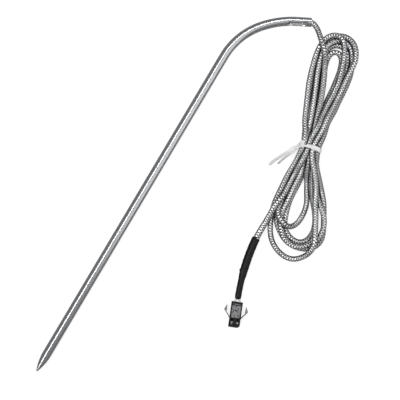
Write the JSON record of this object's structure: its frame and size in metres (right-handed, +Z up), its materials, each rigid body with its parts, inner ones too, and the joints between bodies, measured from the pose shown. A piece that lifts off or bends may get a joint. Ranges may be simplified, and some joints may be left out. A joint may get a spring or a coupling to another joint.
{
  "type": "meat thermometer probe",
  "caption": "Bent steel probe with a pointed tip and inner sensor, a steel-braided cable in a tied hank, heat shrink, and a wire connector with folding latch wings.",
  "frame": {"origin": "middle of the bent tube's box on the surface it lies on: half way between its ends along X and across Y, and z = 0 at the underside of the tube", "axes": "+X along the straight shaft from the sharp end to the bend, +Y away from the side that the bend turns to, +Z up from the surface"},
  "size_m": [0.1941, 0.0794, 0.0074],
  "materials": {
    "stainless_tube": "drawn and lightly polished",
    "stainless_tip": "turned and polished",
    "bead_glass": "glass bead",
    "potting": "heat-conducting filling",
    "tinned_copper": "tinned",
    "splice_brass": "pressed",
    "core_insulation": "fluoropolymer",
    "steel_braid": "woven stainless wire",
    "heat_shrink": "shrunk polyolefin, slightly wrinkled",
    "white_insulation": "extruded",
    "tinned_terminal": "tin-plated brass",
    "black_nylon": "moulded",
    "grey_nylon": "moulded, thin",
    "white_tie": "soft plastic ribbon"
  },
  "bodies": {
    "probe": {"probe_tube": "stainless_tube", "probe_tip": "stainless_tip", "sensor_bead": "bead_glass", "sensor_potting": "potting", "sensor_lead_1": "tinned_copper", "sensor_lead_2": "tinned_copper", "splice_1": "splice_brass", "splice_2": "splice_brass", "core_1": "core_insulation", "core_2": "core_insulation", "braid_end": "steel_braid", "cable_exit": "steel_braid", "cable_hank": "steel_braid", "cable_tail": "steel_braid", "shrink_outer": "heat_shrink", "shrink_inner": "heat_shrink", "wire_1": "white_insulation", "wire_2": "white_insulation", "conductor_1": "tinned_copper", "conductor_2": "tinned_copper", "terminal_1": "tinned_terminal", "terminal_2": "tinned_terminal", "connector_housing": "black_nylon", "twist_tie": "white_tie"},
    "left_wing": {"latch_left": "grey_nylon"},
    "right_wing": {"latch_right": "grey_nylon"}
  },
  "joints": [
    {"name": "left_wing_fold", "type": "hinge", "parent": "probe", "child": "left_wing", "pos_m": [-0.03338, -0.04774, 0.0019], "axis": [0, 0, -1], "range_deg": [0, 13], "stiffness_Nm_per_rad": 0.0002},
    {"name": "right_wing_fold", "type": "hinge", "parent": "probe", "child": "right_wing", "pos_m": [-0.03147, -0.05236, 0.0019], "axis": [0, 0, 1], "range_deg": [0, 13], "stiffness_Nm_per_rad": 0.0002}
  ]
}
